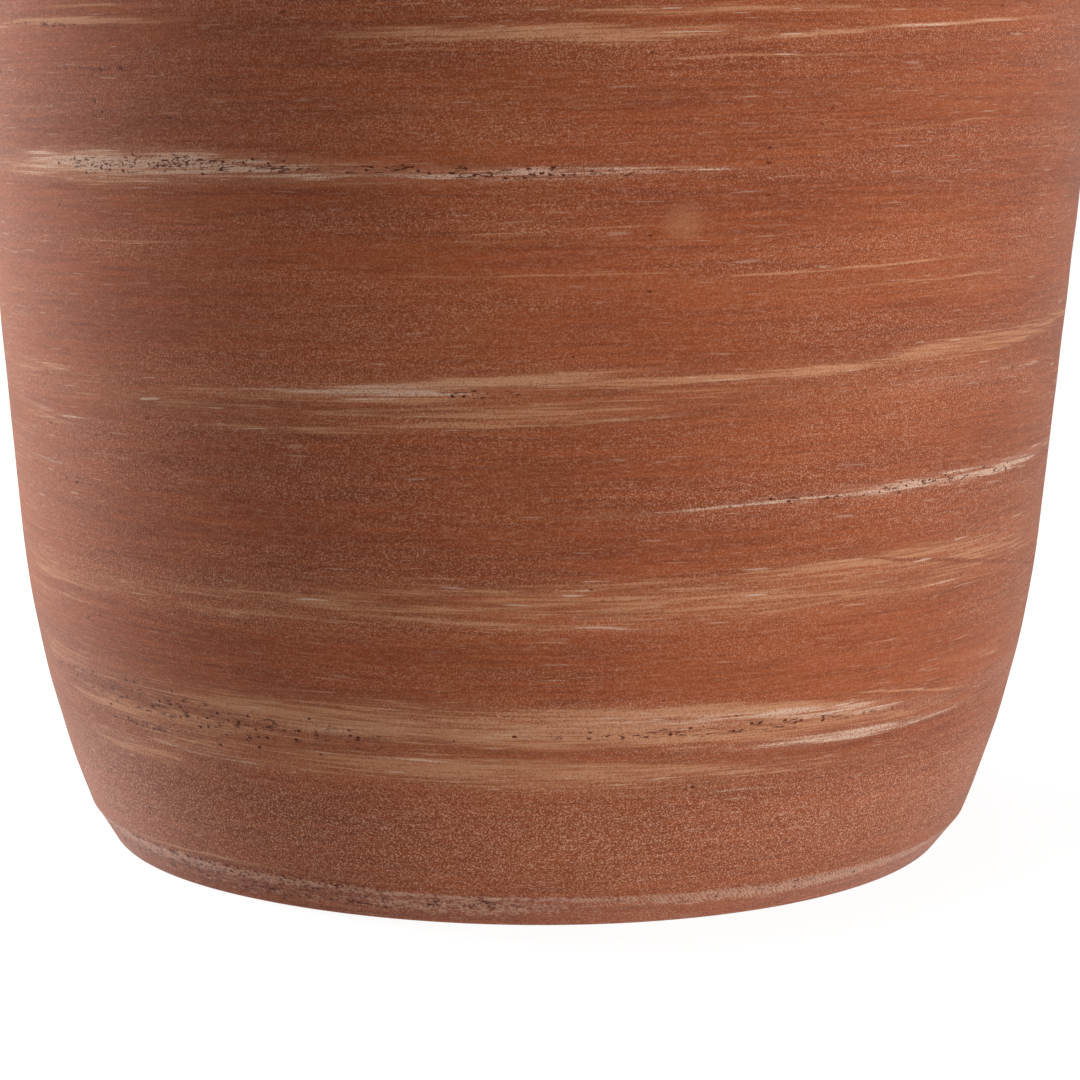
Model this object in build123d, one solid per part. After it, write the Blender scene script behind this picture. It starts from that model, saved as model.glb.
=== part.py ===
from build123d import *
import math
import os

# Hydria: a large unglazed terracotta water jar, thrown in sections and luted together.
# Millimetres and degrees. +Z is up, the jar stands on z = 0, and its axis is the Z axis.
# The lifting handles are on +X and -X, and the pouring handle is on +Y.

# Base slab, with its bevelled edge and the shallow hollow turned into its underside
slab_edge_height = 10.3
slab_edge_flare = 7.9
slab_edge_round = 2.5
standing_ring_width = 27.0
hollow_depth = 3.0

# Lower wall: a curved heel, a slightly leaning straight stretch, then the belly
wall = 9.0
belly_diameter = 341.0
belly_height = 290.0
heel_radius = 317.0
heel_lean = 21.3
taper_lean = 5.1
belly_radius = 940.0

# Shoulder, from the belly seam to the neck seam
shoulder_radius = 92.0
shoulder_turn = 52.0
crown_turn = 22.0
neck_fillet = 22.0

# Neck and lip
neck_bore = 107.0
neck_straight = 40.0
flare_radius = 30.0
flare_lean = 50.0
lip_roll_diameter = 20.0

# Luted seams: a tongue in a groove, and coils of clay pressed into the inside corners
tongue_depth = 4.0
tongue_width = 5.0
base_coil_leg = 15.0
base_coil_hollow = 3.0
belly_coil_reach = 13.0
belly_coil_bulge = 4.0

# Lifting handles: rolled bars bent into loops that tilt upwards
grip_diameter = 22.0
grip_span = 96.0
grip_reach = 54.0
grip_bend = 36.0
grip_tilt = 30.0
grip_rise = 14.0

# Pouring handle: a pulled strap from the neck to the shoulder
strap_width = 36.0
strap_thickness = 13.0
strap_inset = 38.5
strap_bend = 46.0
strap_drop = 12.0

# Clay worked round the handle roots
root_foot = 11.0
root_edge = 0.8
root_length = 20.0

# Handles are drawn this far into the jar, then trimmed to its skin
bury = 24.0


def sin(angle):
    return math.sin(math.radians(angle))


def cos(angle):
    return math.cos(math.radians(angle))


def tan(angle):
    return math.tan(math.radians(angle))


# Sizes that follow from the driving dimensions
heel_height = heel_radius * (sin(heel_lean) - sin(taper_lean))
belly_arc_height = belly_radius * sin(taper_lean)
taper_height = belly_height - slab_edge_height - heel_height - belly_arc_height
taper_length = taper_height / cos(taper_lean)
heel_spread = heel_radius * (cos(taper_lean) - cos(heel_lean))
taper_spread = taper_length * sin(taper_lean)
belly_spread = belly_radius * (1 - cos(taper_lean))
belly_r = belly_diameter / 2
seam_r = belly_r - heel_spread - taper_spread - belly_spread
base_r = seam_r - slab_edge_flare
ledge_r = seam_r - wall / cos(heel_lean)
foot_straight = wall * tan(heel_lean)
floor_z = slab_edge_height + foot_straight * cos(heel_lean)
floor_r = ledge_r + foot_straight * sin(heel_lean)

neck_lean = shoulder_turn + crown_turn
neck_r = neck_bore / 2 + wall
shoulder_top_r = belly_r - shoulder_radius * (1 - cos(shoulder_turn))
crown_foot_r = neck_r + neck_fillet * (1 - cos(neck_lean))
crown_radius = (shoulder_top_r - crown_foot_r) / (cos(shoulder_turn) - cos(neck_lean))
strap_landing = belly_r - strap_inset


class Skin:
    """One face of the jar's wall as a chain of tangent lines and arcs, drawn upwards.

    Points are (radius, height). The chain lies depth millimetres inside the outer face,
    and a positive turn bends it towards the axis.
    """

    def __init__(self, depth):
        self.depth = depth
        self.lean = heel_lean
        self.point = Vector(seam_r - depth / cos(heel_lean), slab_edge_height)
        self.lower = self.line(depth * tan(heel_lean)) if depth else []
        self.lower += self.arc(heel_radius, heel_lean - taper_lean)
        self.lower += self.line(taper_length)
        self.lower += self.arc(belly_radius, taper_lean)
        self.belly = self.point
        self.shoulder = self.arc(shoulder_radius, shoulder_turn)
        self.shoulder += self.arc(crown_radius, crown_turn)
        self.shoulder += self.arc(neck_fillet, -neck_lean)
        self.neck_foot = self.point
        self.neck = self.line(neck_straight)
        self.neck_flare = self.point
        self.neck += self.arc(flare_radius, -flare_lean)
        self.mouth = self.point

    def heading(self):
        return Vector(sin(self.lean), cos(self.lean))

    def line(self, length):
        edge = Line(self.point, self.point + self.heading() * length)
        self.point = edge @ 1
        return [edge]

    def arc(self, radius, turn):
        inset = self.depth if turn > 0 else -self.depth
        edge = JernArc(self.point, self.heading(), radius - inset, turn)
        self.point = edge @ 1
        self.lean -= turn
        return [edge]


outer = Skin(0)
inner = Skin(wall)


def turned(edges):
    """Solid of revolution about Z, from a closed run of edges drawn as (radius, height)."""
    return revolve(Plane.XZ * make_face(edges), Axis.Z)


def tongue(outside, inside):
    """Seam line across the wall, from its outer to its inner face, with a vee in its middle."""
    middle = (outside + inside) / 2
    half = Vector(tongue_width / 2, 0)
    tip = middle - Vector(0, tongue_depth)
    return Polyline(outside, middle + half, tip, middle - half, inside).edges()


def base_slab():
    """Thrown disc: bevelled edge, ledge for the wall, raised floor and hollowed underside."""
    hollow_r = base_r - standing_ring_width
    section = make_face(
        Polyline(
            (0, hollow_depth),
            (hollow_r - hollow_depth, hollow_depth),
            (hollow_r, 0),
            (base_r, 0),
            (seam_r, slab_edge_height),
            (ledge_r, slab_edge_height),
            (floor_r, floor_z),
            (0, floor_z),
            close=True,
        )
    )
    foot = section.vertices().filter_by(lambda corner: corner.Y == 0).sort_by(Axis.X)[-1]
    return revolve(Plane.XZ * fillet(foot, slab_edge_round), Axis.Z)


def base_seam_coil():
    """Coil pressed into the corner between the floor and the lower wall, smoothed hollow."""
    corner = Vector(floor_r, floor_z)
    inner_radius = heel_radius - wall
    top_lean = math.degrees(math.asin(sin(heel_lean) - base_coil_leg / inner_radius))
    up_the_wall = JernArc(corner, (sin(heel_lean), cos(heel_lean)), inner_radius, heel_lean - top_lean)
    along_floor = Line(corner - Vector(base_coil_leg, 0), corner)
    face = SagittaArc(up_the_wall @ 1, along_floor @ 0, base_coil_hollow)
    return turned([along_floor, up_the_wall, face])


def lower_wall():
    """Thrown wall from the slab's ledge to the belly seam, with a groove along its top."""
    foot = Line((seam_r, slab_edge_height), (ledge_r, slab_edge_height))
    return turned([*outer.lower, *tongue(outer.belly, inner.belly), *inner.lower, foot])


def belly_seam_coil():
    """Coil smeared over the belly seam inside the jar."""
    below_radius = belly_radius - wall
    above_radius = shoulder_radius - wall
    below_lean = math.degrees(math.asin(belly_coil_reach / below_radius))
    above_turn = math.degrees(math.asin(belly_coil_reach / above_radius))
    foot = inner.belly - Vector(below_radius * (1 - cos(below_lean)), belly_coil_reach)
    below = JernArc(foot, (sin(below_lean), cos(below_lean)), below_radius, below_lean)
    above = JernArc(inner.belly, (0, 1), above_radius, above_turn)
    face = SagittaArc(above @ 1, foot, -belly_coil_bulge)
    return turned([below, above, face])


def shoulder():
    """Thrown dome from the belly seam to the neck seam: tongue below, groove above."""
    seams = [*tongue(outer.belly, inner.belly), *tongue(outer.neck_foot, inner.neck_foot)]
    return turned([*outer.shoulder, *inner.shoulder, *seams])


def neck():
    """Thrown collar with a straight bore and a flaring mouth."""
    rim = Line(outer.mouth, inner.mouth)
    return turned([*outer.neck, *inner.neck, *tongue(outer.neck_foot, inner.neck_foot), rim])


def lip_coil():
    """Rolled coil that crowns the flared edge of the neck."""
    seat = Line(outer.mouth, inner.mouth)
    radius = lip_roll_diameter / 2
    centre = (seat @ 0.5) + outer.heading() * math.sqrt(radius**2 - (wall / 2) ** 2)
    roll = ThreePointArc(outer.mouth, centre + outer.heading() * radius, inner.mouth)
    return turned([roll, seat])


def jar_core():
    """The jar's outer skin as one filled solid, for trimming what is luted to it."""
    skin = [*outer.lower, *outer.shoulder, *outer.neck]
    rest = Polyline(outer.mouth, (0, outer.mouth.Y), (0, slab_edge_height), (seam_r, slab_edge_height))
    return turned([*skin, *rest.edges()])


def root_clay(seat, width, thickness):
    """Tapered collar of clay along seat's z axis, round a handle of the given section."""
    foot = Ellipse(width / 2 + root_foot, thickness / 2 + root_foot)
    edge = Ellipse(width / 2 + root_edge, thickness / 2 + root_edge)
    return loft([seat.offset(-root_length) * foot, seat.offset(root_length) * edge], ruled=True)


def lifting_handle(core):
    """The +X loop and the clay round its two roots."""
    rise_angle = math.degrees(math.asin(grip_rise / shoulder_radius))
    root_r = belly_r - shoulder_radius * (1 - cos(rise_angle))
    half = grip_span / 2
    chord = math.sqrt(root_r**2 - half**2)
    tilted = Plane((chord, 0, belly_height + grip_rise), (0, 1, 0), (sin(grip_tilt), 0, -cos(grip_tilt)))
    path = tilted * FilletPolyline(
        (-half, -bury),
        (-half, grip_reach),
        (half, grip_reach),
        (half, -bury),
        radius=grip_bend,
    )
    start = Plane(path @ 0, tilted.x_dir, path % 0)
    bar = sweep(start * Circle(grip_diameter / 2), path) - core
    roots = []
    for side in (-half, half):
        seat = Plane(tilted.from_local_coords((side, 0, 0)), tilted.x_dir, tilted.y_dir)
        roots.append(root_clay(seat, grip_diameter, grip_diameter) - core - bar)
    return bar, roots


def pouring_handle(core):
    """The +Y strap and the clay round its roots on the neck and the shoulder."""
    landing_turn = math.acos(cos(shoulder_turn) - (shoulder_top_r - strap_landing) / crown_radius)
    shoulder_top_z = belly_height + shoulder_radius * sin(shoulder_turn)
    landing_z = shoulder_top_z + crown_radius * (math.sin(landing_turn) - sin(shoulder_turn))
    spring_z = outer.neck_flare.Y - strap_drop
    path = Plane.YZ * FilletPolyline(
        (neck_r - bury, spring_z),
        (strap_landing, spring_z),
        (strap_landing, landing_z - bury),
        radius=strap_bend,
    )
    section = Ellipse(strap_width / 2, strap_thickness / 2)
    strap = sweep(Plane(path @ 0, (1, 0, 0), path % 0) * section, path) - core
    neck_seat = Plane((0, neck_r, spring_z), (1, 0, 0), (0, 1, 0))
    shoulder_seat = Plane((0, strap_landing, landing_z), (1, 0, 0), (0, 0, 1))
    roots = []
    for seat in (neck_seat, shoulder_seat):
        roots.append(root_clay(seat, strap_width, strap_thickness) - core - strap)
    return strap, roots


core = jar_core()
right_bar, right_clay = lifting_handle(core)
strap, strap_clay = pouring_handle(core)

nodes = {
    "base_slab": base_slab(),
    "base_seam_coil": base_seam_coil(),
    "lower_wall": lower_wall(),
    "belly_seam_coil": belly_seam_coil(),
    "shoulder": shoulder(),
    "neck": neck(),
    "lip_coil": lip_coil(),
    "right_handle": right_bar,
    "right_handle_roots": Compound(right_clay),
    "left_handle": mirror(right_bar, about=Plane.YZ),
    "left_handle_roots": Compound([mirror(clay, about=Plane.YZ) for clay in right_clay]),
    "back_handle": strap,
    "back_handle_roots": Compound(strap_clay),
}

os.makedirs("parts", exist_ok=True)
for name, shape in nodes.items():
    export_step(shape, f"parts/{name}.step")
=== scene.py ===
import math

import bmesh
import bpy
import numpy as np
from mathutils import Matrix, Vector


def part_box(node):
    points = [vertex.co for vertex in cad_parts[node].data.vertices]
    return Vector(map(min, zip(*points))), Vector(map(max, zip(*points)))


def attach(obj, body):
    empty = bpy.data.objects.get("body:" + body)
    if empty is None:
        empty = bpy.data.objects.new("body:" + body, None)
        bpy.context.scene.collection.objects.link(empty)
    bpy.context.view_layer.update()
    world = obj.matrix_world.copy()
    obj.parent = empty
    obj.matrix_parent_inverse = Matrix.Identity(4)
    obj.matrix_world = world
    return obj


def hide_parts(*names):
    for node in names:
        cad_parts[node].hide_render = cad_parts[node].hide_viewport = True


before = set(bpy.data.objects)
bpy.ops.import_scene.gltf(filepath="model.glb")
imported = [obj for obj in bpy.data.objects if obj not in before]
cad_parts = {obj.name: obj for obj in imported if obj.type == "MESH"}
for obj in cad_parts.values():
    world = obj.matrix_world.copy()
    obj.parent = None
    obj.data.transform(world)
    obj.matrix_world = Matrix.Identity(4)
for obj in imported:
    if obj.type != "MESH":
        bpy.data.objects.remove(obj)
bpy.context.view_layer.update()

# Base slab: a thrown disc of coarse red earthenware that the jar stands on. Its edge is cut to a bevel,
# its underside is hollowed on the wheel, and a ledge round its floor takes the foot of the wall.
mm = 0.001
wall = 9 * mm
seam_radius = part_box("base_slab")[1].x
floor_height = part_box("base_slab")[1].z
seam_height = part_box("lower_wall")[0].z
heel_lean = math.radians(21.3)
edge_flare = 7.9 * mm
edge_round = 2.5 * mm
standing_ring = 27 * mm
hollow_depth = 3 * mm
ledge_radius = seam_radius - wall / math.cos(heel_lean)
floor_radius = ledge_radius + wall * math.tan(heel_lean) * math.sin(heel_lean)
base_radius = seam_radius - edge_flare
hollow_radius = base_radius - standing_ring

deep_red = (0.143, 0.0302, 0.0096)
warm_red = (0.227, 0.0512, 0.0140)
buff = (0.360, 0.165, 0.083)
chalk = (0.455, 0.312, 0.232)
ash = (0.370, 0.215, 0.145)
sand = (0.395, 0.190, 0.120)
# Painted shade: a near-black brown laid into pits and cracks for the shadow inside these hollows.
painted_pit_shade = (0.062, 0.0080, 0.0010)
segments = 360
outside_step = 1.9 * mm
inside_step = 3.2 * mm


class Field:
    """A shader value. Arithmetic on it adds Math nodes, and node() adds any other kind."""

    def __init__(self, tree, socket=None):
        self.tree = tree
        self.socket = socket

    def node(self, kind, settings, sockets, output=0):
        node = self.tree.nodes.new(kind)
        for setting, value in settings.items():
            setattr(node, setting, value)
        for name, value in sockets.items():
            if isinstance(value, Field):
                self.tree.links.new(value.socket, node.inputs[name])
            else:
                node.inputs[name].default_value = value
        return Field(self.tree, node.outputs[output] if node.outputs else None)

    def other(self, output):
        """Another output of the same node."""
        return Field(self.tree, self.socket.node.outputs[output])

    def math(self, operation, *values, clamp=False):
        settings = {"operation": operation, "use_clamp": clamp}
        return self.node("ShaderNodeMath", settings, dict(enumerate(values)))

    def __add__(self, other):
        return self.math("ADD", self, other)

    __radd__ = __add__

    def __sub__(self, other):
        return self.math("SUBTRACT", self, other)

    def __rsub__(self, other):
        return self.math("SUBTRACT", other, self)

    def __mul__(self, other):
        return self.math("MULTIPLY", self, other)

    __rmul__ = __mul__

    def __truediv__(self, other):
        return self.math("DIVIDE", self, other)

    def clamp(self):
        return self.math("ADD", self, 0, clamp=True)

    def rise(self, low, high):
        """0 below low, 1 above high, and a smooth step between them."""
        sockets = {"Value": self, "From Min": low, "From Max": high}
        return self.node("ShaderNodeMapRange", {"interpolation_type": "SMOOTHSTEP"}, sockets)

    def mix(self, colour, other, share):
        """One colour laid over another by a share."""
        return self.node("ShaderNodeMix", {"data_type": "RGBA"}, {0: share, 6: colour, 7: other}, output=2)


def solid_colour(colour):
    return (*colour, 1)


def terracotta(name, bands=(), marbling=0.0, lay=(1, 1, 0)):
    """Unglazed red clay: turning lines, sandy zones, buff and chalky streaks, pale dashes, and pits with
    painted shade.

    bands are rows of (kind, angles, heights, half thickness, strength), in degrees from the front and in
    millimetres, each a streak from one angle to the other through three heights. The kinds are buff and
    chalk clay, worn and chattered edges, torn and gouged pits, a scored line, a stain and sand. marbling is
    how far buff streaks come by themselves, and lay says which axes of the piece's grain the clay was
    drawn out along.
    """
    material = bpy.data.materials.new(name)
    material.use_nodes = True
    material.node_tree.nodes.clear()
    clay = Field(material.node_tree)
    spot = clay.node("ShaderNodeAttribute", {"attribute_name": "grain"}, {}, output="Vector")
    x = clay.node("ShaderNodeSeparateXYZ", {}, {0: spot})
    y = x.other(1)
    z = x.other(2)

    def noise(place, long, thin, detail, shift):
        """Blotches so many millimetres long and thin. shift keeps them apart from other blotches."""
        scale = [1 / (long if drawn else thin) for drawn in lay]
        stretched = {0: place, 1: scale, 2: (shift, 1.7 * shift, 2.3 * shift)}
        vector = clay.node("ShaderNodeVectorMath", {"operation": "MULTIPLY_ADD"}, stretched)
        sockets = {"Vector": vector, "Scale": 1, "Detail": detail, "Roughness": 0.55}
        return clay.node("ShaderNodeTexNoise", {}, sockets)

    # The streaks lie in planes that tilt up to the front and a little to the right, except near the foot
    tilted = z + (0.0765 * y - 0.0277 * x) * z.rise(75, 160)
    drawn = clay.node("ShaderNodeCombineXYZ", {}, {0: x, 1: y, 2: tilted})
    angle = x.math("ARCTAN2", x, 0 - y) * (180 / math.pi)
    height = z + 4.0 * (noise(spot, 55, 9, 2, 3.1) - 0.5)

    def lens(angles, heights, half, strength):
        """strength in the middle of a streak, 0 at the rim that its ends taper to, and below 0 outside."""
        start, end = angles
        low, middle, high = heights
        slope = (high - low) / 2
        bend = (low + high) / 2 - middle
        along = x.math("MULTIPLY_ADD", angle, 2 / (end - start), (start + end) / (start - end))
        shift = x.math("MULTIPLY_ADD", along, -bend / half, -slope / half)
        shift = x.math("MULTIPLY_ADD", along, shift, -middle / half)
        off = x.math("MULTIPLY_ADD", height, 1 / half, shift)
        rim = x.math("MULTIPLY_ADD", off, off, along * along)
        return x.math("MULTIPLY_ADD", rim, -strength, strength)

    def band(kind):
        """All the streaks of one kind, the strongest winning."""
        total = None
        for row_kind, *row in bands:
            if row_kind == kind:
                total = x.math("MAXIMUM", total or 0, lens(*row))
        return total

    # Fibres of paler clay, drawn out by the turning
    threads = noise(drawn, 24, 0.66, 2, 7.7)
    strands = noise(drawn, 60, 3.6, 2, 11.9)
    speck = noise(spot, 0.48, 0.42, 1, 9.3)
    streak = band("buff")
    chalky = band("chalk")
    torn = band("torn")
    if marbling:
        wide = noise(drawn, 240, 6.5, 2, 5.9).rise(0.55, 0.70) * marbling
        rare = noise(drawn, 190, 3.2, 2, 15.3).rise(0.60, 0.73) * marbling
        if streak:
            aside = x.math("ABSOLUTE", angle).rise(76, 104)
            wide = wide * (0.25 + 0.75 * aside)
            rare = rare * aside
        streak = x.math("MAXIMUM", streak or 0, wide)
        chalky = x.math("MAXIMUM", chalky or 0, 0.9 * rare)
        torn = x.math("MAXIMUM", torn or 0, 0.9 * rare - 0.1)
    lines = noise(drawn, 30, 0.85, 2, 2.2)
    tone = noise(drawn, 160, 22, 2, 4.4)
    shade = (0.5 + 2.5 * (lines - 0.5) + 1.7 * (tone - 0.5)).clamp()
    colour = clay.mix(solid_colour(deep_red), solid_colour(warm_red), shade)
    if streak:
        needed = 0.74 - streak * (0.16 + 0.60 * strands)
        cover = threads.rise(needed, needed + 0.28)
        colour = clay.mix(colour, solid_colour(buff), (0.68 * cover + 0.21 * streak).clamp())
    if chalky:
        needed = 0.74 - chalky * (0.16 + 0.60 * strands)
        cover = threads.rise(needed, needed + 0.24)
        broken = 0.30 + 1.05 * speck.rise(0.30, 0.62)
        colour = clay.mix(colour, solid_colour(chalk), (0.75 * cover * broken + 0.12 * chalky).clamp())
    scored = band("scored")
    if scored:
        colour = clay.mix(colour, solid_colour(deep_red), 0.8 * scored.clamp())
    stain = band("stain")
    if stain:
        colour = clay.mix(colour, solid_colour(buff), stain.clamp())
    worn = band("worn")
    rough = noise(spot, 3.4, 1.5, 3, 8.1)
    crumbs = 0.45 * rough + 0.55 * noise(spot, 1.05, 0.70, 2, 13.7)
    if worn:
        gaps = crumbs
        chattered = band("chattered")
        if chattered:
            gaps = gaps + 0.11 * chattered.clamp() * x.math("SINE", 11 * angle + 4.4 * z + 22 * rough)
        cover = (gaps + 0.45 * worn).rise(0.64, 0.86)
        colour = clay.mix(colour, solid_colour(ash), cover * 0.75)

    # Sand grains that show pale where the slip has rubbed thin, loose or dragged along by the turning
    zone = noise(drawn, 110, 12, 2, 6.2).rise(0.36, 0.68)
    sandy = band("sand")
    if sandy:
        zone = x.math("MAXIMUM", zone, 1.7 * sandy)
    dragged = noise(drawn, 3.4, 0.54, 1, 12.4)
    grains = speck.rise(0.46, 0.74) * (0.30 + 0.46 * zone) + dragged.rise(0.50, 0.76) * 0.20
    colour = clay.mix(colour, solid_colour(sand), grains.clamp())
    dust = (1 - speck).rise(0.46, 0.74) * (0.40 + 0.20 * zone)
    colour = clay.mix(colour, solid_colour(deep_red), dust.clamp())
    dash = noise(drawn, 11, 0.60, 0, 3.3).rise(0.74, 0.86)
    colour = clay.mix(colour, solid_colour(chalk), dash * (0.25 + 0.5 * streak if streak else 0.25))

    # Pits where a grain was torn out, and short cracks where the clay dragged, with painted shade inside
    # them
    cells = {0: spot, 1: [1 / (2.9 if axis else 1.7) for axis in lay]}
    cell = clay.node("ShaderNodeVectorMath", {"operation": "MULTIPLY"}, cells)
    near = clay.node("ShaderNodeTexVoronoi", {}, {"Vector": cell, "Scale": 1}, output="Distance")
    chance = clay.node("ShaderNodeSeparateColor", {}, {0: near.other("Color")})
    odds = 0.985 - 0.6 * torn if torn else 0.985
    ragged = near + 0.5 * (noise(spot, 0.9, 0.6, 1, 14.9) - 0.5)
    shaded_pits = (1 - ragged.rise(0.16, 0.30)) * chance.rise(odds, odds + 0.02)
    if torn:
        ridge = x.math("ABSOLUTE", noise(drawn, 9, 1.5, 3, 10.6) - 0.5)
        crack = (1 - ridge.rise(0.014, 0.040)) * rough.rise(0.47, 0.56) * torn.rise(0.3, 0.8)
        shaded_pits = x.math("MAXIMUM", shaded_pits, crack)
    gouged = band("gouged")
    if gouged:
        shaded_pits = x.math("MAXIMUM", shaded_pits, (1 - crumbs).rise(0.555, 0.585) * gouged.rise(0.1, 0.5))
    # Painted shade: pits and cracks are coloured near black for the shadow inside them, and the bump below
    # gives them only shallow relief.
    colour = clay.mix(colour, solid_colour(painted_pit_shade), shaded_pits * 0.96)

    relief = 0.5 * lines + 0.4 * speck + 0.2 * dragged + 0.15 * rough - shaded_pits
    bump = {"Strength": 0.5, "Distance": 0.3 * mm, "Height": relief}
    normal = clay.node("ShaderNodeBump", {}, bump)
    gloss = 0.92 - 0.10 * threads
    finish = {"Base Color": colour, "Roughness": gloss, "Normal": normal, "Specular IOR Level": 0.06}
    finish["Sheen Weight"] = 0.16
    surface = clay.node("ShaderNodeBsdfPrincipled", {}, finish)
    clay.node("ShaderNodeOutputMaterial", {}, {"Surface": surface})
    return material


class Profile:
    """Points (radius, height) along straight runs and tangent arcs.

    lean is the heading's angle from upright, and a positive turn bends back towards the axis. The line lies
    depth inside the face that the arcs' radii are given for.
    """

    def __init__(self, start, lean, step, depth=0):
        self.points = [start]
        self.lean = lean
        self.step = step
        self.depth = depth

    def run(self, length):
        radius, height = self.points[-1]
        for part in np.linspace(0, length, 1 + math.ceil(length / self.step))[1:]:
            self.points.append((radius + part * math.sin(self.lean), height + part * math.cos(self.lean)))

    def arc(self, radius, turn):
        across, height = self.points[-1]
        bend = radius - self.depth if turn > 0 else -radius - self.depth
        count = 1 + math.ceil(abs(bend * turn) / self.step)
        for lean in np.linspace(self.lean, self.lean - turn, count)[1:]:
            sideways = bend * (math.cos(lean) - math.cos(self.lean))
            upwards = bend * (math.sin(self.lean) - math.sin(lean))
            self.points.append((across + sideways, height + upwards))
        self.lean -= turn

    def cut(self):
        """The points so far, and a fresh start from the last one."""
        drawn, self.points = self.points, self.points[-1:]
        return np.array(drawn)


def thrown(angle, height, inside):
    """How far the wheel left the clay short of true: slow wander, fine ripple, and finger rings inside."""
    oval_wander = 0.10 * (1 + np.cos(2 * angle + 0.6))
    twisted_wander = 0.05 * (1 + np.cos(3 * angle - height / (60 * mm)))
    ripple = 0.04 * (1 + np.sin(height / (4.1 * mm) + angle)) * (1 + np.sin(height / (23 * mm)))
    rings = 0.35 * (1 + np.sin(height / (1.8 * mm) - angle))
    return mm * (oval_wander + twisted_wander + (1 - inside) * ripple - inside * rings)


def lattice(rows, columns, closed):
    """Quads over a grid of points that goes round, as corner numbers and as places in the grid."""
    row, column = np.indices((rows if closed else rows - 1, columns))
    corners = [(row, column), (row, column + 1), (row + 1, column + 1), (row + 1, column)]
    numbers = np.stack([(r % rows) * columns + c % columns for r, c in corners], -1)
    return numbers.reshape(-1, 4), np.stack([np.stack(corner, -1) for corner in corners], 2)


def fired(name, node, shells, clay):
    """Makes a piece from closed grids of points, puts it in place of its CAD node and gives it its clay.

    A shell is its points, its grain, each row's share of the bake's height, and whether the last row meets
    the first. A row that has shrunk to one point becomes a pole.
    """
    points, grain, faces, bake = [], [], [], []
    count = 0
    for shell_points, shell_grain, along, closed in shells:
        rows, columns = shell_points.shape[:2]
        numbers, places = lattice(rows, columns, closed)
        faces.append(numbers + count)
        bake.append(np.stack([places[..., 1] / columns, np.array(along)[places[..., 0]]], -1).ravel())
        points.append(shell_points.reshape(-1, 3))
        grain.append(shell_grain.ravel())
        count += rows * columns
    mesh = bpy.data.meshes.new(name)
    mesh.from_pydata(np.concatenate(points).tolist(), [], np.concatenate(faces).tolist())
    bake_layer = mesh.uv_layers.new(name="OFBake")
    bake_layer.data.foreach_set("uv", np.concatenate(bake).astype(np.float32))
    grain_layer = mesh.attributes.new("grain", "FLOAT_VECTOR", "POINT")
    grain_layer.data.foreach_set("vector", np.concatenate(grain).astype(np.float32))
    shell = bmesh.new()
    shell.from_mesh(mesh)
    bmesh.ops.remove_doubles(shell, verts=shell.verts, dist=0.001 * mm)
    shell.to_mesh(mesh)
    shell.free()
    mesh.shade_smooth()
    mesh.set_sharp_from_angle(angle=math.radians(32))
    mesh.materials.append(clay)
    piece = bpy.data.objects.new(name, mesh)
    bpy.context.scene.collection.objects.link(piece)
    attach(piece, "root")
    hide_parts(node)


def turned(name, node, rows, clay, press=None):
    """A closed piece of revolution. rows are (radius, height, inside share), drawn anticlockwise."""
    radius, height, inside = np.array(rows).T[:, :, None]
    angle = np.linspace(0, 2 * np.pi, segments, endpoint=False)[None, :]
    across = radius - thrown(angle, height, inside) * np.minimum(1, radius / (20 * mm))
    if press:
        across = across + press(angle, radius, height)
    points = np.stack([across * np.sin(angle), -across * np.cos(angle), height + 0 * angle], -1)
    closed = radius[0, 0] > 0
    ends = (np.append(values, values[0]) for values in (radius, height))
    steps = np.hypot(*(np.diff(values) for values in ends)) * (1 - 0.6 * inside[:, 0])
    along = np.append(0, np.cumsum(steps)) / steps.sum()
    fired(name, node, [(points, points / mm, along, closed)], clay)


def rows_to(start, end, step):
    """Rows along a straight stretch, from just after start up to end."""
    count = max(1, math.ceil(math.dist(start[:2], end[:2]) / step))
    return [np.add(start, np.subtract(end, start) * part / count) for part in range(1, count + 1)]


def on_face(points, inside):
    """Rows from (radius, height) points that all lie on one face of the wall."""
    return [(radius, height, inside) for radius, height in points]


bevel = math.atan2(edge_flare, seam_height)
round_start = base_radius - edge_round * math.tan((math.pi / 2 - bevel) / 2)
edge_rounding = [
    (round_start + edge_round * math.sin(turn), edge_round * (1 - math.cos(turn)), 0)
    for turn in np.linspace(0, math.pi / 2 - bevel, 9)
]
tool_rings = 0.12 * mm
tool_pitch = 6 * mm
underside = []
for radius in np.arange(0, hollow_radius - hollow_depth, 1.5 * mm):
    groove = tool_rings * (1 + math.sin(2 * math.pi * radius / tool_pitch))
    underside.append((radius, hollow_depth + groove, 0))
finger_rings = 0.5 * mm
finger_pitch = 13 * mm
floor_rim = floor_radius - 18 * mm
floor_face = []
for radius in np.arange(floor_rim, 0, -2 * mm):
    groove = finger_rings * (1 - math.cos(2 * math.pi * (floor_rim - radius) / finger_pitch))
    floor_face.append((radius, floor_height - groove, 1))

slump = 2.2 * mm
slump_bearing = math.radians(-56)
slump_focus = 11


def slumped(angle, radius, height):
    """The left of the cut edge has sunk outwards a little, most at the floor and not at all at the seam."""
    lowness = np.clip(1 - height / seam_height, 0, 1)
    share = np.clip((radius - hollow_radius) / standing_ring, 0, 1)
    return slump * lowness**1.5 * share * np.exp(slump_focus * (np.cos(angle - slump_bearing) - 1))


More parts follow.
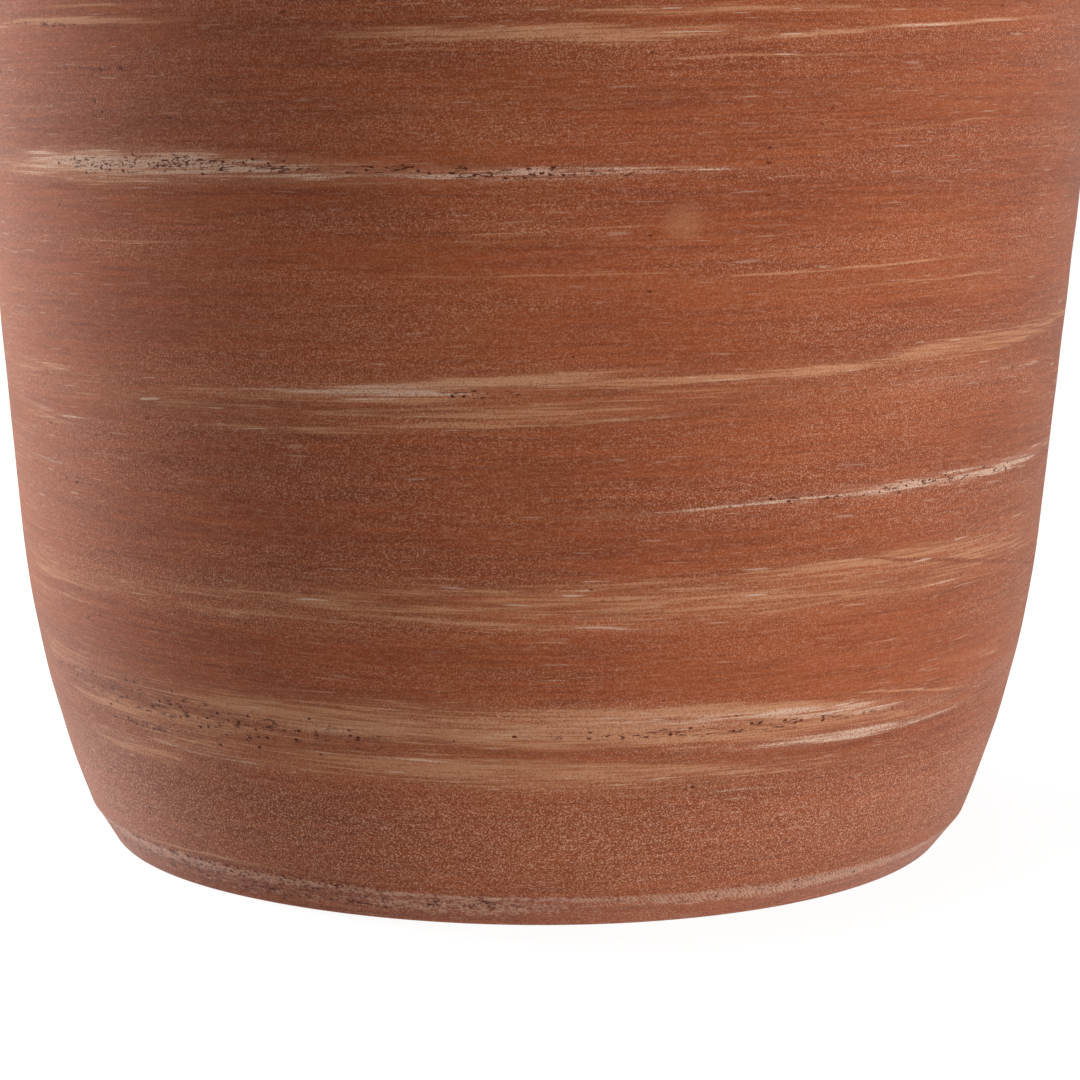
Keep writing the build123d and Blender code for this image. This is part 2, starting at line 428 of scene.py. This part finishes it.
foot_bands = [
    ("worn", (-400, 400), (9.4, 9.4, 9.4), 1.7, 0.6),
    ("worn", (-84, -12), (8.8, 9.0, 8.8), 2.8, 0.70),
    ("worn", (-78, 6), (5.4, 5.0, 5.0), 4.6, 0.38),
    ("worn", (-34, 16), (6.5, 6.0, 6.5), 4.6, 0.56),
    ("worn", (-6, 82), (8.0, 8.3, 8.8), 3.4, 0.75),
    ("chattered", (-2, 68), (8.4, 8.6, 9.0), 4.0, 1.6),
    ("torn", (-74, -6), (7.4, 7.0, 7.4), 4.6, 0.65),
    ("torn", (4, 66), (8.6, 8.8, 9.0), 2.6, 0.6),
    ("gouged", (-80, 8), (7.8, 7.6, 7.6), 4.4, 1.0),
    ("torn", (-58, -34), (20, 23, 22), 5.0, 0.45),
    ("sand", (-400, 400), (28, 28, 28), 24, 1.0),
]
slab_rows = [
    *underside,
    (hollow_radius - hollow_depth, hollow_depth, 0),
    *rows_to((hollow_radius - hollow_depth, hollow_depth, 0), (hollow_radius, 0, 0), 1 * mm),
    *rows_to((hollow_radius, 0, 0), (round_start - 1 * mm, 0, 0), 6 * mm),
    *edge_rounding,
    *rows_to(edge_rounding[-1], (seam_radius, seam_height, 0), 1.5 * mm),
    *rows_to((seam_radius, seam_height, 0), (ledge_radius, seam_height, 1), 3 * mm),
    *rows_to((ledge_radius, seam_height, 1), (floor_radius, floor_height, 1), 2 * mm),
    *rows_to((floor_radius, floor_height, 1), (floor_rim, floor_height, 1), 3 * mm)[:-1],
    *floor_face,
    (0, floor_height, 1),
]
turned("thrown_base_slab", "base_slab", slab_rows, terracotta("slab_clay", foot_bands), slumped)

# Base seam coil: a coil of soft clay pressed into the corner between the floor and the wall, so that the
# seam can't open. The potter's thumb leaves a row of shallow hollows round it.
belly_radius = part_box("lower_wall")[1].x
belly_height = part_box("lower_wall")[1].z
heel_bend = 317 * mm
belly_bend = 940 * mm
taper_lean = math.radians(5.1)
heel_rise = heel_bend * (math.sin(heel_lean) - math.sin(taper_lean))
taper_rise = belly_height - seam_height - heel_rise - belly_bend * math.sin(taper_lean)
outer = Profile((seam_radius, seam_height), heel_lean, outside_step)
inner = Profile((ledge_radius, seam_height), heel_lean, inside_step, wall)
inner.run(wall * math.tan(heel_lean))
for skin in (outer, inner):
    skin.arc(heel_bend, heel_lean - taper_lean)
    skin.run(taper_rise / math.cos(taper_lean))
    skin.arc(belly_bend, taper_lean)
wall_outside = outer.cut()
wall_inside = inner.cut()

coil_leg = 15 * mm
coil_hollow = 3 * mm
coil_top = floor_height + coil_leg
thumb_depth = 0.7 * mm
thumbs = 38


def wall_inside_row(height):
    return (np.interp(height, wall_inside[:, 1], wall_inside[:, 0]), height, 1)


def thumbed(angle, radius, height):
    """Thumb hollows on the coil's free face, none where it meets the floor and the wall."""
    free = (height - floor_height) * (coil_top - height) * (wall_inside_row(height)[0] - radius)
    free = np.clip(free / (coil_leg / 3) ** 3, 0, 1)
    return thumb_depth * free * np.abs(np.sin(angle * thumbs / 2 + height / (9 * mm)))


coil_foot = (floor_radius - coil_leg, floor_height, 1)
coil_head = wall_inside_row(coil_top)
hollowed = []
for part in np.linspace(0, 1, 13)[1:-1]:
    radius, height, inside = np.add(coil_head, np.subtract(coil_foot, coil_head) * part)
    dip = coil_hollow * 4 * part * (1 - part) * math.sqrt(0.5)
    hollowed.append((radius + dip, height - dip, inside))
base_coil_rows = [
    coil_foot,
    *rows_to(coil_foot, (floor_radius, floor_height, 1), 3 * mm),
    *(wall_inside_row(height) for height in np.linspace(floor_height, coil_top, 7)[1:]),
    *hollowed,
]
coil_clay = terracotta("coil_clay", marbling=0.5)
turned("pressed_base_coil", "base_seam_coil", base_coil_rows, coil_clay, thumbed)

# Lower wall: the thrown body from the slab's ledge to the belly, of red clay streaked with a paler buff one
# that the turning drew out sideways. Its foot is luted to the slab, and its top has a groove for the
# shoulder.
tongue_depth = 4 * mm
tongue_width = 5 * mm


def tongue(outside, inside):
    """Rows across the wall at a seam, from its outer to its inner face, with a vee in the middle."""
    middle = np.add(outside, inside) / 2
    half = tongue_width / 2
    share = 0.5 - tongue_width / wall / 2
    return [
        (middle[0] + half, middle[1], share),
        (middle[0], middle[1] - tongue_depth, 0.5),
        (middle[0] - half, middle[1], 1 - share),
    ]


streaks_and_painted_sheen = [
    # The first two rows are painted sheen: wide pale buff washes over both sides of the jar, where it turns
    # away from the front, standing in for the pale grazing reflection there. The rows after them are clay
    # streaks.
    ("buff", (-130, -48), (120, 120, 120), 165, 0.58),
    ("buff", (54, 130), (100, 100, 100), 150, 0.54),
    ("buff", (-15, 45), (261.5, 262, 261), 1.5, 0.9),
    ("buff", (-72, -28), (248.3, 253.7, 258.5), 1.9, 1.1),
    ("buff", (-60, -30), (255.8, 259, 261), 0.8, 0.7),
    ("buff", (-28, 27), (254.4, 255.5, 257.0), 3.2, 1.2),
    ("chalk", (-18, 8), (254.4, 255.4, 256.0), 1.5, 0.50),
    ("buff", (6, 70), (251.2, 256.2, 256.8), 1.0, 1.1),
    ("chalk", (18, 66), (254.8, 256.4, 256.6), 0.7, 0.62),
    ("buff", (6, 37), (249.4, 249.7, 249.7), 0.6, 0.9),
    ("buff", (-22, -3), (248.6, 250, 251), 0.5, 0.7),
    ("torn", (-66, -43), (250.2, 251.6, 252.4), 1.2, 1.0),
    ("torn", (-68, -22), (236, 241.3, 244.6), 1.1, 0.8),
    ("torn", (-54, -27), (228.6, 229.3, 229.2), 0.7, 0.7),
    ("buff", (14, 60), (225.6, 228.6, 229.4), 0.5, 0.7),
    ("buff", (-78, -6), (206.0, 214.9, 218.0), 6.6, 1.15),
    ("chalk", (-80, 0), (207.4, 215.6, 217.6), 6.2, 0.74),
    ("chalk", (-70, -4), (209.6, 216.0, 217.4), 4.6, 0.95),
    ("chalk", (-40, 27), (217.0, 217.8, 220.2), 2.6, 0.82),
    ("buff", (-44, 4), (211.2, 214.2, 217.2), 1.6, 0.6),
    ("torn", (-60, -12), (212.2, 216.4, 218.4), 3.4, 1.15),
    ("gouged", (-58, -14), (213.2, 216.4, 218.4), 1.2, 0.7),
    ("torn", (-28, 22), (219, 218.1, 219.4), 2.0, 1.3),
    ("stain", (12.0, 16.6), (205, 205, 205), 5.6, 0.32),
    ("buff", (-10, 16), (200.6, 203, 205), 0.5, 0.8),
    ("buff", (-62, -20), (191.2, 194.5, 197.2), 0.6, 0.7),
    ("buff", (-4, 70), (187.2, 190.6, 189.2), 0.6, 0.9),
    ("buff", (-17, 18), (188.4, 190.6, 191.8), 0.6, 0.8),
    ("buff", (12, 76), (183.8, 185.6, 182.8), 0.6, 0.7),
    ("buff", (-80, 96), (149, 157.5, 160), 10.5, 0.45),
    ("buff", (-38, 19), (151.6, 159.5, 166.2), 2.6, 1.2),
    ("chalk", (-36, 10), (153.6, 158, 162.2), 3.2, 0.74),
    ("chalk", (-23, -2), (154.8, 157, 158.8), 2.2, 0.80),
    ("buff", (-44, 34), (146.4, 152.8, 157.6), 5.6, 0.72),
    ("torn", (-12, 2), (156.4, 157.6, 158.4), 1.6, 0.9),
    ("buff", (-20, 90), (156.4, 163.6, 164.6), 2.8, 1.0),
    ("buff", (22, 94), (163, 165.2, 163.6), 4.4, 0.8),
    ("buff", (-50, 16), (151.3, 155, 155.6), 3.2, 0.8),
    ("buff", (-44, 19), (142, 147.8, 152.6), 1.6, 1.0),
    ("chalk", (2, 19), (150.8, 151.7, 152.5), 0.6, 0.62),
    ("buff", (-74, -10), (143.6, 149, 151.2), 4.8, 0.7),
    ("chalk", (36, 50), (156.1, 156.3, 156.4), 0.5, 0.68),
    ("chalk", (30, 76), (155, 155.6, 154), 2.8, 0.45),
    ("buff", (-92, -34), (146.5, 151.5, 153.5), 7.0, 0.66),
    ("chalk", (-77, -43), (138.3, 140.2, 141), 1.1, 0.70),
    ("chalk", (-73, -48), (139.6, 138.5, 138.6), 0.7, 0.60),
    ("buff", (-82, -46), (136.3, 137.4, 136.8), 1.0, 0.6),
    ("chalk", (-72, -51), (124.3, 124.4, 125.3), 0.7, 0.62),
    ("chalk", (-8, 58), (122.9, 125.8, 127.0), 1.0, 0.78),
    ("chalk", (14, 72), (124.9, 126.4, 126.2), 1.2, 1.10),
    ("chalk", (8, 90), (124.4, 126.8, 124.6), 2.9, 0.86),
    ("chalk", (24, 74), (126.0, 126.8, 125.4), 1.4, 0.95),
    ("torn", (16, 74), (125.4, 126.6, 125.4), 2.0, 1.15),
    ("torn", (-70, -38), (123, 122, 124), 3.0, 0.45),
    ("buff", (-62, 92), (95, 99.0, 97), 9.5, 0.80),
    ("buff", (0, 90), (100.5, 103.5, 98), 7.5, 0.70),
    ("buff", (12, 68), (103.2, 106.6, 103), 2.8, 0.9),
    ("buff", (26, 82), (104.2, 101, 95.5), 4.8, 0.7),
    ("buff", (-54, 30), (95.8, 97.4, 98.8), 3.6, 0.95),
    ("buff", (-48, -10), (89.8, 91.4, 93.2), 2.4, 0.9),
    ("buff", (-34, 22), (95.8, 93.5, 90.6), 2.6, 0.9),
    ("buff", (-29, 4), (101.2, 101.8, 103.2), 1.4, 0.8),
    ("buff", (-3, 21), (102.8, 104.4, 105.4), 1.5, 0.9),
    ("chalk", (4, 17), (92, 91.5, 91), 1.0, 0.60),
    ("chalk", (44, 56), (97.2, 96, 95.3), 1.2, 0.55),
    ("buff", (-92, -44), (91.5, 93.5, 95.0), 7.0, 0.62),
    ("buff", (-86, -30), (85.8, 91.4, 96.4), 4.4, 0.84),
    ("scored", (33, 84), (109.0, 98.5, 85.6), 0.7, 2.4),
    ("buff", (-80, -44), (82.8, 84.6, 86.2), 1.0, 0.8),
    ("torn", (-60, -46), (78, 82, 84.5), 0.9, 0.8),
    ("buff", (-74, 70), (60.8, 62.8, 56.4), 9.0, 1.1),
    ("buff", (-18, 50), (66.2, 66.6, 62.2), 3.2, 1.3),
    ("chalk", (-8, 62), (64.6, 63.6, 58.2), 3.4, 0.72),
    ("chalk", (10, 68), (55.6, 54.6, 55.6), 2.1, 0.85),
    ("chalk", (-44, 20), (60.0, 60.5, 61.0), 5.0, 0.42),
    ("buff", (-76, -4), (56.2, 55.5, 53.3), 5.4, 0.9),
    ("buff", (-68, 56), (50.2, 49.2, 46.8), 7.2, 0.92),
    ("buff", (-90, -30), (66.0, 64.5, 63.0), 6.5, 0.70),
    ("chalk", (-34, 11), (53.4, 51.6, 50.4), 0.45, 0.66),
    ("chalk", (-56, -22), (48, 47.2, 45.2), 0.6, 0.66),
    ("chalk", (-1, 50), (43.5, 41.8, 41.4), 0.45, 0.62),
    ("buff", (-66, -33), (41.8, 43.2, 41.2), 5.0, 0.9),
    ("torn", (-74, -2), (61.8, 58.5, 57.2), 6.4, 0.80),
    ("torn", (-58, -8), (56.5, 56.0, 55.0), 7.0, 0.5),
    ("torn", (-86, -40), (60.4, 61.4, 61.9), 0.9, 1.2),
    ("torn", (-66, -26), (50.8, 51.4, 50.4), 1.0, 1.0),
    ("torn", (-10, 56), (60.4, 60.6, 60), 2.0, 1.0),
    ("torn", (14.5, 24.5), (44.8, 44.5, 44.3), 0.9, 1.2),
    ("buff", (28, 69), (69.4, 64.6, 54.8), 0.7, 1.0),
    ("buff", (46, 77), (73, 68.6, 63), 1.8, 0.7),
    ("chalk", (56, 84), (58.6, 61, 62.4), 2.8, 0.52),
    ("chalk", (28.3, 32), (31.9, 32.3, 32.7), 0.6, 0.70),
    ("buff", (-72, -12), (11.0, 12.7, 12.2), 1.0, 0.9),
]
wall_rows = [
    *on_face(wall_outside, 0),
    *tongue(wall_outside[-1], wall_inside[-1]),
    *on_face(wall_inside[::-1], 1),
]
wall_clay = terracotta("wall_clay", foot_bands + streaks_and_painted_sheen, marbling=0.8)
turned("thrown_lower_wall", "lower_wall", wall_rows, wall_clay)

# Belly seam coil: a second coil, smeared flat over the inside of the belly seam before the shoulder dries.
# Its face stays a little bulged and shows the finger that smeared it.
neck_bore = 107 * mm
neck_radius = neck_bore / 2 + wall
shoulder_bend = 92 * mm
shoulder_turn = math.radians(52)
crown_turn = math.radians(22)
neck_fillet = 22 * mm
neck_lean = shoulder_turn + crown_turn
shoulder_top = belly_radius - shoulder_bend * (1 - math.cos(shoulder_turn))
crown_foot = neck_radius + neck_fillet * (1 - math.cos(neck_lean))
crown_bend = (shoulder_top - crown_foot) / (math.cos(shoulder_turn) - math.cos(neck_lean))
for skin in (outer, inner):
    skin.arc(shoulder_bend, shoulder_turn)
    skin.arc(crown_bend, crown_turn)
    skin.arc(neck_fillet, -neck_lean)
shoulder_outside = outer.cut()
shoulder_inside = inner.cut()

belly_inside = np.concatenate([wall_inside, shoulder_inside[1:]])
smear_reach = 13 * mm
smear_bulge = 4 * mm
smear_low, smear_high = (belly_height + reach for reach in (-smear_reach, smear_reach))
smear_heights = np.linspace(smear_low, smear_high, 15)
smear_radii = np.interp(smear_heights, belly_inside[:, 1], belly_inside[:, 0])
chord_radii = np.linspace(smear_radii[-1], smear_radii[0], 15)
bulges = smear_bulge * (1 - np.linspace(-1, 1, 15) ** 2)
smear_rows = [
    *on_face(zip(smear_radii, smear_heights), 1),
    *on_face(zip(chord_radii - bulges, smear_heights[::-1]), 1)[1:-1],
]
smears = 31
smear_depth = 0.25
smear_slant = 6 * mm


def smeared(angle, radius, height):
    """Finger smears slanting over the coil's bulged face."""
    proud = np.interp(height, smear_heights, smear_radii) - radius
    return smear_depth * np.clip(proud, 0, 2.4 * mm) * (1 + np.sin(angle * smears + height / smear_slant))


smear_clay = terracotta("smear_clay", marbling=0.5)
turned("smeared_belly_coil", "belly_seam_coil", smear_rows, smear_clay, smeared)

# Shoulder: a dome thrown on its own and set on the lower wall with its tongue in the groove, then closed
# in towards the neck. It carries the handles.
shoulder_rows = [
    *on_face(shoulder_outside, 0),
    *tongue(shoulder_outside[-1], shoulder_inside[-1]),
    *on_face(shoulder_inside[::-1], 1),
    *tongue(shoulder_outside[0], shoulder_inside[0])[::-1],
]
turned("thrown_shoulder", "shoulder", shoulder_rows, terracotta("shoulder_clay", marbling=0.9))

# Neck: a collar thrown on its own, straight inside and flared at the mouth, with its tongue in the groove
# of the shoulder.
neck_straight = 40 * mm
flare_bend = 30 * mm
flare_lean = math.radians(50)
for skin in (outer, inner):
    skin.run(neck_straight)
    skin.arc(flare_bend, -flare_lean)
neck_outside = outer.cut()
neck_inside = inner.cut()
neck_rows = [
    *on_face(neck_outside, 0),
    *on_face(neck_inside[::-1], 1),
    *tongue(neck_outside[0], neck_inside[0])[::-1],
]
turned("thrown_neck", "neck", neck_rows, terracotta("neck_clay", marbling=0.8))

# Lip coil: a rolled coil that crowns the flared edge, so that the mouth doesn't chip. It is smoothed with a
# wet hand, and its top is worn pale.
lip_roll = 10 * mm
mouth_outside = neck_outside[-1]
mouth_inside = neck_inside[-1]
heading = np.array([math.sin(flare_lean), math.cos(flare_lean)])
lip_centre = (mouth_outside + mouth_inside) / 2 + heading * math.sqrt(lip_roll**2 - (wall / 2) ** 2)
first, last = (math.atan2(*(mouth - lip_centre)[::-1]) for mouth in (mouth_outside, mouth_inside))
lip_rows = []
for turn in np.linspace(first, last + 2 * math.pi, 61):
    radius, height = lip_centre + lip_roll * np.array([math.cos(turn), math.sin(turn)])
    lip_rows.append((radius, height, (turn - first) / (last + 2 * math.pi - first)))
lip_rows[0] = (*mouth_outside, 0)
lip_rows[-1] = (*mouth_inside, 1)
lip_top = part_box("lip_coil")[1].z / mm
lip_bands = [("worn", (-400, 400), (lip_top, lip_top, lip_top), 3.5, 0.45)]
turned("rolled_lip", "lip_coil", lip_rows, terracotta("lip_clay", lip_bands, marbling=0.6))

# Lifting handles: bars rolled by hand and bent into loops that tilt upwards, one on each side, for carrying
# the full jar. Their ends are scored and pressed on the shoulder just above the belly seam.
grip_radius = 11 * mm
grip_half_span = 48 * mm
grip_reach = 54 * mm
grip_bend = 36 * mm
grip_tilt = math.radians(30)
grip_rise = 14 * mm
palm_lumps = 0.020
palm_flats = 0.012
sunk = 4 * mm
around = 64
handle_step = 1.5 * mm
skin_points = np.concatenate([wall_outside, shoulder_outside[1:], neck_outside[1:]])
skin_search = 60 * mm
halvings = 40


def to_skin(points, direction):
    """How far each point goes along direction, from inside the jar, to come out at its skin."""
    low = np.full(len(points), -skin_search)
    high = -low
    for _ in range(halvings):
        middle = (low + high) / 2
        place = points + middle[:, None] * direction
        radius = np.interp(place[:, 2], skin_points[:, 1], skin_points[:, 0])
        outside = np.hypot(place[:, 0], place[:, 1]) > radius
        high = np.where(outside, middle, high)
        low = np.where(outside, low, middle)
    return middle


def poled(grid):
    """The grid with a point in the middle of its first and of its last row, to close its ends."""
    first, last = (np.repeat(row.mean(0)[None, None], around, 1) for row in (grid[0], grid[-1]))
    return np.concatenate([first, grid, last])


def swept(name, node, centre, normal, section, leg_rows, clay):
    """A closed bar along a flat path. Its first and last legs are trimmed just under the jar's skin.

    section gives the bar's half sizes at each row and angle, across the path's plane and along it.
    """
    ahead = np.gradient(centre, axis=0)
    ahead /= np.linalg.norm(ahead, axis=1)[:, None]
    aside = np.cross(ahead, normal)
    along = np.append(0, np.cumsum(np.linalg.norm(np.diff(centre, axis=0), axis=1)))
    angle = np.linspace(0, 2 * np.pi, around, endpoint=False)[None, :]
    across, thick = section(along[:, None] / along[-1], angle)
    points = centre[:, None] + across[..., None] * normal + thick[..., None] * aside[:, None]
    grain = np.stack([along[:, None] + 0 * angle, across, thick], -1) / mm
    rows = np.arange(len(centre))
    for end, direction in ((0, ahead[0]), (-1, -ahead[-1])):
        trim = to_skin(points[end], direction) - sunk
        near = np.clip(1 - np.abs(rows - rows[end]) / leg_rows, 0, 1)
        points += near[:, None, None] * trim[None, :, None] * direction
    points, grain = (poled(grid) for grid in (points, grain))
    fired(name, node, [(points, grain, np.linspace(0, 1, len(points)), False)], clay)


rise_angle = math.asin(grip_rise / shoulder_bend)
grip_root_radius = belly_radius - shoulder_bend * (1 - math.cos(rise_angle))
grip_chord = math.sqrt(grip_root_radius**2 - grip_half_span**2)
grip = Profile((-grip_half_span, 0), 0, handle_step)
grip.run(grip_reach - grip_bend)
grip_leg_rows = len(grip.points) - 1
grip.arc(grip_bend, -math.pi / 2)
grip.run(2 * (grip_half_span - grip_bend))
grip.arc(grip_bend, -math.pi / 2)
grip.run(grip_reach - grip_bend)
grip_path = grip.cut()
grip_clay = terracotta("grip_clay", marbling=0.7, lay=(1, 0, 0))
grips = {}
for side, hand in (("right", 1), ("left", -1)):
    seat = np.array([hand * grip_chord, 0, belly_height + grip_rise])
    sideways = np.array([0, hand, 0])
    outwards = np.array([hand * math.cos(grip_tilt), 0, math.sin(grip_tilt)])
    grips[side] = seat, sideways, outwards

    def rolled(part, angle, hand=hand):
        """A rolled bar: nearly round, a little uneven where the palm passed over it."""
        lumps = palm_lumps * (1 + np.sin(19 * part + 2 * angle + hand))
        flats = palm_flats * (1 + np.cos(7 * part - hand - angle))
        radius = grip_radius * (1 - (lumps + flats))
        return radius * np.cos(angle), radius * np.sin(angle)

    centre = seat + grip_path[:, :1] * sideways + grip_path[:, 1:] * outwards
    normal = np.cross(sideways, outwards)
    swept(f"rolled_{side}_handle", f"{side}_handle", centre, normal, rolled, grip_leg_rows, grip_clay)

# Handle roots: soft clay worked round each end of the loops and drawn out over the shoulder with the
# fingers, so that the handle can't break away.
root_spread = 7.6 * mm
root_edge = 0.1 * mm
root_length = 20 * mm
root_rows = 19
dabs = 7
dab_depth = 0.7 * mm
scallop = 0.10
finger_pull = 0.28
tucked_in = 2 * mm


def oval(angle, squareness):
    """A round of half size 1, squarer as squareness falls below 1."""
    return (np.sign(wave) * np.abs(wave) ** squareness for wave in (np.cos(angle), np.sin(angle)))


def root_points(seat, sideways, outwards, width, thickness, squareness=1.0):
    """A ring of clay round a handle's end: a hollow flare from the jar's skin up to the handle."""
    upright = np.cross(outwards, sideways)
    angle = np.linspace(0, 2 * np.pi, around, endpoint=False)
    fingers = 0.5 + 0.5 * np.cos(dabs * angle + 0.8 * np.sin(angle))

    def ring(spread, lift, from_skin):
        across, thick = oval(angle, squareness)
        across = np.outer((width + spread) * across, sideways)
        points = seat + across + np.outer((thickness + spread) * thick, upright)
        base = to_skin(points, outwards) if from_skin else 0
        return points + np.outer(base + lift, outwards)

    foot = root_spread * (1 - scallop + scallop * fingers)
    rings = [ring(foot, -tucked_in, True)]
    skin_at_handle = to_skin(ring(root_edge, 0, False), outwards)
    for part in np.linspace(0, 1, root_rows):
        spread = foot * (1 - part) + root_edge * part
        hollow = 1 - np.sqrt(1 - part**2)
        dab = dab_depth * np.sin(np.pi * part) * fingers
        pulled_up = (root_length - skin_at_handle) * hollow * (1 - finger_pull * fingers * part)
        rings.append(ring(spread - dab, pulled_up, True))
    rings.append(ring(-1.0 * mm, root_length + 0.4 * mm, False))
    rings.append(ring(-1.5 * mm, -tucked_in, True))
    return np.stack(rings)


def worked(name, node, roots, clay):
    """One piece from the rings of clay round a handle's two ends."""
    share = np.linspace(0, 1, len(roots[0]) + 1)
    fired(name, node, [(points, points / mm, share, True) for points in roots], clay)


root_clay = terracotta("root_clay", marbling=0.3, lay=(1, 1, 1))
for side, (seat, sideways, outwards) in grips.items():
    ends = (seat + end * grip_half_span * sideways for end in (-1, 1))
    roots = [root_points(end, sideways, outwards, grip_radius, grip_radius) for end in ends]
    worked(f"worked_{side}_roots", f"{side}_handle_roots", roots, root_clay)

# Pouring handle: a strap pulled with a wet hand from the neck down to the shoulder, for tipping the jar.
# The fingers leave two shallow channels along it, and its ends are worked on like those of the loops.
strap_half_width = 18 * mm
strap_half_thickness = 6.5 * mm
strap_landing = belly_radius - 38.5 * mm
strap_bend = 46 * mm
strap_drop = 12 * mm
strap_squareness = 0.8
channel_depth = 1.6 * mm
channel_width = 3.5 * mm
channel_aside = 7.5 * mm
spring_height = neck_outside[0][1] + neck_straight - strap_drop
landing_height = np.interp(-strap_landing, -shoulder_outside[:, 0], shoulder_outside[:, 1])
strap = Profile((neck_radius, spring_height), math.pi / 2, handle_step)
strap.run(strap_landing - neck_radius - strap_bend)
strap_leg_rows = len(strap.points) - 1
strap.arc(strap_bend, -math.pi / 2)
strap.run(spring_height - strap_bend - landing_height)
strap_path = strap.cut()


def pulled(part, angle):
    """A flat strap, a little uneven in width, with two channels along each face that end at its roots."""
    across, thick = oval(angle, strap_squareness)
    across = strap_half_width * (1 - 0.02 * (1 + np.sin(9 * part + 1))) * across
    channels = np.exp(-(((np.abs(across) - channel_aside) / channel_width) ** 2)) * np.sin(np.pi * part)
    full = strap_half_thickness * (1 - 0.03 * (1 + np.sin(13 * part)))
    return across, thick * (full - channel_depth * channels)


strap_centre = np.stack([0 * strap_path[:, 0], strap_path[:, 0], strap_path[:, 1]], -1)
sideways = np.array([1.0, 0, 0])
strap_clay = terracotta("strap_clay", marbling=0.7, lay=(1, 0, 0))
swept("pulled_back_handle", "back_handle", strap_centre, sideways, pulled, strap_leg_rows, strap_clay)
strap_section = (strap_half_width, strap_half_thickness, strap_squareness)
strap_roots = [
    root_points(strap_centre[end], sideways, outwards, *strap_section)
    for end, outwards in ((0, np.array([0, 1.0, 0])), (-1, np.array([0, 0, 1.0])))
]
worked("worked_back_roots", "back_handle_roots", strap_roots, root_clay)

# Floor: a wide white table top, lit evenly from below through matt paper, that the jar stands on. It isn't
# part of the jar.
floor_size = 12.0
paper_colour = (0.16, 0.16, 0.16)
paper_shade = (0.14, 0.14, 0.14)
paper_glow = 0.92
white = (1, 1, 1, 1)
floor_mesh = bpy.data.meshes.new("floor")
floor_disc = bmesh.new()
bmesh.ops.create_circle(floor_disc, cap_ends=True, segments=96, radius=floor_size)
floor_disc.to_mesh(floor_mesh)
floor_disc.free()
paper = bpy.data.materials.new("lit_paper")
paper.use_nodes = True
paper.node_tree.nodes.clear()
sheet = Field(paper.node_tree)
place = sheet.node("ShaderNodeTexCoord", {}, {}, output="Object")
fleck = sheet.node("ShaderNodeTexNoise", {}, {"Vector": place, "Scale": 40, "Detail": 3})
paper_tone = sheet.mix(solid_colour(paper_shade), solid_colour(paper_colour), fleck)
paper_finish = {
    "Base Color": paper_tone,
    "Roughness": 0.95,
    "Emission Color": white,
    "Emission Strength": paper_glow,
}
paper_face = sheet.node("ShaderNodeBsdfPrincipled", {}, paper_finish)
sheet.node("ShaderNodeOutputMaterial", {}, {"Surface": paper_face})
floor_mesh.materials.append(paper)
floor = bpy.data.objects.new("floor", floor_mesh)
bpy.context.scene.collection.objects.link(floor)

# Studio light: a low wide soft box at the front right, another low behind the left side for the pale left
# edge, and a smaller one high overhead. The room is nearly dark and its far wall is white.
aim = np.array([0, 0, 0.2])
room_glow = 0.01
wall_glow = 0.95


def soft_box(name, bearing, elevation, distance, width, height, power):
    """A soft box on a stand at a bearing from the front, positive to the right, facing the jar."""
    bearing, elevation = math.radians(bearing), math.radians(elevation)
    level = math.cos(elevation)
    towards = np.array([math.sin(bearing) * level, -math.cos(bearing) * level, math.sin(elevation)])
    lamp = bpy.data.lights.new(name, "AREA")
    lamp.shape = "RECTANGLE"
    lamp.size = width
    lamp.size_y = height
    lamp.energy = power
    stand = bpy.data.objects.new(name, lamp)
    stand.location = aim + distance * towards
    stand.rotation_euler = Vector(towards).to_track_quat("Z", "Y").to_euler()
    stand.visible_camera = False
    bpy.context.scene.collection.objects.link(stand)


soft_box("key_box", bearing=61, elevation=6, distance=2.2, width=1.6, height=0.8, power=55)
soft_box("edge_box", bearing=-115, elevation=9, distance=1.8, width=1.0, height=0.9, power=56)
soft_box("top_box", bearing=0, elevation=90, distance=4.6, width=1.5, height=1.5, power=125)
room = bpy.data.worlds.new("room")
room.use_nodes = True
room.node_tree.nodes.clear()
air = Field(room.node_tree)
glow = air.node("ShaderNodeBackground", {}, {"Color": white, "Strength": room_glow})
backdrop = air.node("ShaderNodeBackground", {}, {"Color": white, "Strength": wall_glow})
seen = air.node("ShaderNodeLightPath", {}, {}, output="Is Camera Ray")
shown = air.node("ShaderNodeMixShader", {}, {0: seen, 1: glow, 2: backdrop})
air.node("ShaderNodeOutputWorld", {}, {"Surface": shown})
bpy.context.scene.world = room
bpy.context.scene.view_settings.view_transform = "Standard"

# Camera: a long lens a little over a metre in front of the jar, looking slightly down at its lower body.
camera_place = (3.1 * mm, -1285 * mm, 325.8 * mm)
look_down = 10.48
roll = 0.55
lens_length = 140
film_width = 36
camera_data = bpy.data.cameras.new("camera")
camera_data.lens = lens_length
camera_data.sensor_width = film_width
camera = bpy.data.objects.new("camera", camera_data)
camera.rotation_mode = "ZYX"
camera.rotation_euler = (math.radians(90 - look_down), 0, math.radians(roll))
camera.location = camera_place
bpy.context.scene.collection.objects.link(camera)
bpy.context.scene.camera = camera
